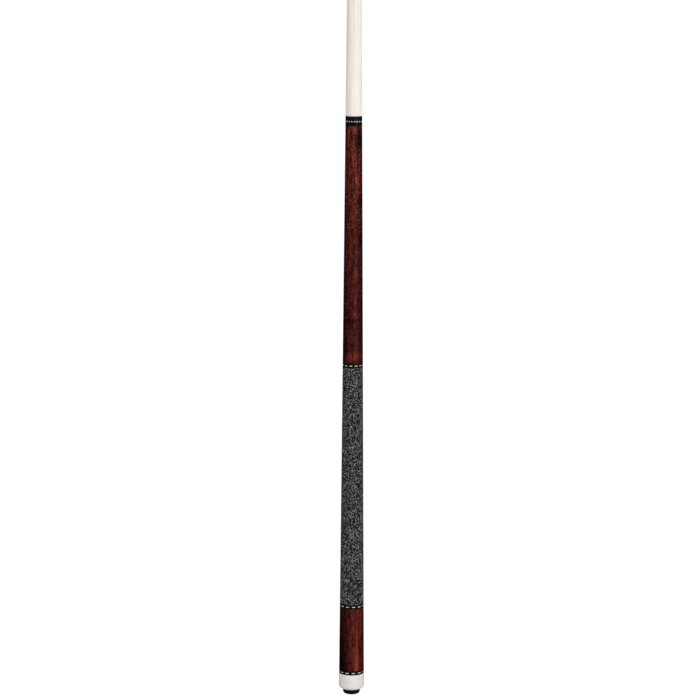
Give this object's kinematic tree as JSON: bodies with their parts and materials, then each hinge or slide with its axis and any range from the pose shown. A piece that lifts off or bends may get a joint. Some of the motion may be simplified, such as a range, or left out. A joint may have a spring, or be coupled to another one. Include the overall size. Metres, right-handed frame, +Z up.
{
  "type": "pool cue",
  "caption": "Two-piece pool cue: tapered maple shaft with leather tip screws onto a stained butt with stitch rings, black linen wrap, white cap and rubber bumper.",
  "frame": {"origin": "middle of the bumper's flat foot, on the cue's axis", "axes": "+Z up along the cue's axis, from the bumper's foot to the tip; -Y is the side seen in the picture, +X to its right"},
  "size_m": [0.0324, 0.0324, 1.4732],
  "materials": {
    "tip_leather": "layered chalked leather, matt",
    "pad_fibre": "pressed fibre",
    "ferrule_white": "polished",
    "shaft_maple": "pale straight-grained maple, satin",
    "insert_brass": "machined",
    "satin_black": "satin",
    "pin_steel": "machined thread",
    "gloss_black": "polished",
    "dash_silver": "silver under lacquer",
    "stained_maple": "red-brown stain under gloss lacquer",
    "core_maple": "bare turned maple, hidden",
    "black_linen": "pressed linen thread, black with pale flecks",
    "dash_champagne": "pale metal under lacquer",
    "cap_white": "polished off-white",
    "bolt_steel": "plain steel",
    "bumper_rubber": "moulded, matt"
  },
  "bodies": {
    "butt": {"joint_pin": "pin_steel", "joint_trim": "gloss_black", "joint_stitch_ring": "dash_silver", "joint_collar": "gloss_black", "forearm": "stained_maple", "handle_stud": "pin_steel", "handle_core": "core_maple", "linen_wrap": "black_linen", "upper_wrap_ring_upper_trim": "gloss_black", "upper_wrap_ring_stitch_ring": "dash_champagne", "upper_wrap_ring_lower_trim": "gloss_black", "lower_wrap_ring_upper_trim": "gloss_black", "lower_wrap_ring_stitch_ring": "dash_champagne", "lower_wrap_ring_lower_trim": "gloss_black", "butt_sleeve": "stained_maple", "cap_ring_upper_trim": "gloss_black", "cap_ring_stitch_ring": "dash_champagne", "cap_ring_lower_trim": "gloss_black", "butt_cap": "cap_white", "weight_bolt": "bolt_steel"},
    "shaft_lift": {"tip_pad": "pad_fibre"},
    "shaft": {"tip": "tip_leather", "ferrule": "ferrule_white", "shaft": "shaft_maple", "shaft_insert": "insert_brass", "shaft_collar": "satin_black"},
    "bumper": {"bumper": "bumper_rubber"}
  },
  "joints": [
    {"name": "shaft_rise", "type": "slide", "parent": "butt", "child": "shaft_lift", "axis": [0, 0, 1], "range_m": [0, 0.0254]},
    {"name": "shaft_screw", "type": "hinge", "parent": "shaft_lift", "child": "shaft", "pos_m": [0, 0, 0.7366], "axis": [0, 0, 1], "range_deg": [0, 6480]},
    {"name": "bumper_pull", "type": "slide", "parent": "butt", "child": "bumper", "axis": [0, 0, -1], "range_m": [0, 0.017]}
  ],
  "couplings": [
    {"joint": "shaft_screw", "follows": "shaft_rise", "rad_per_m": 4452.6}
  ]
}
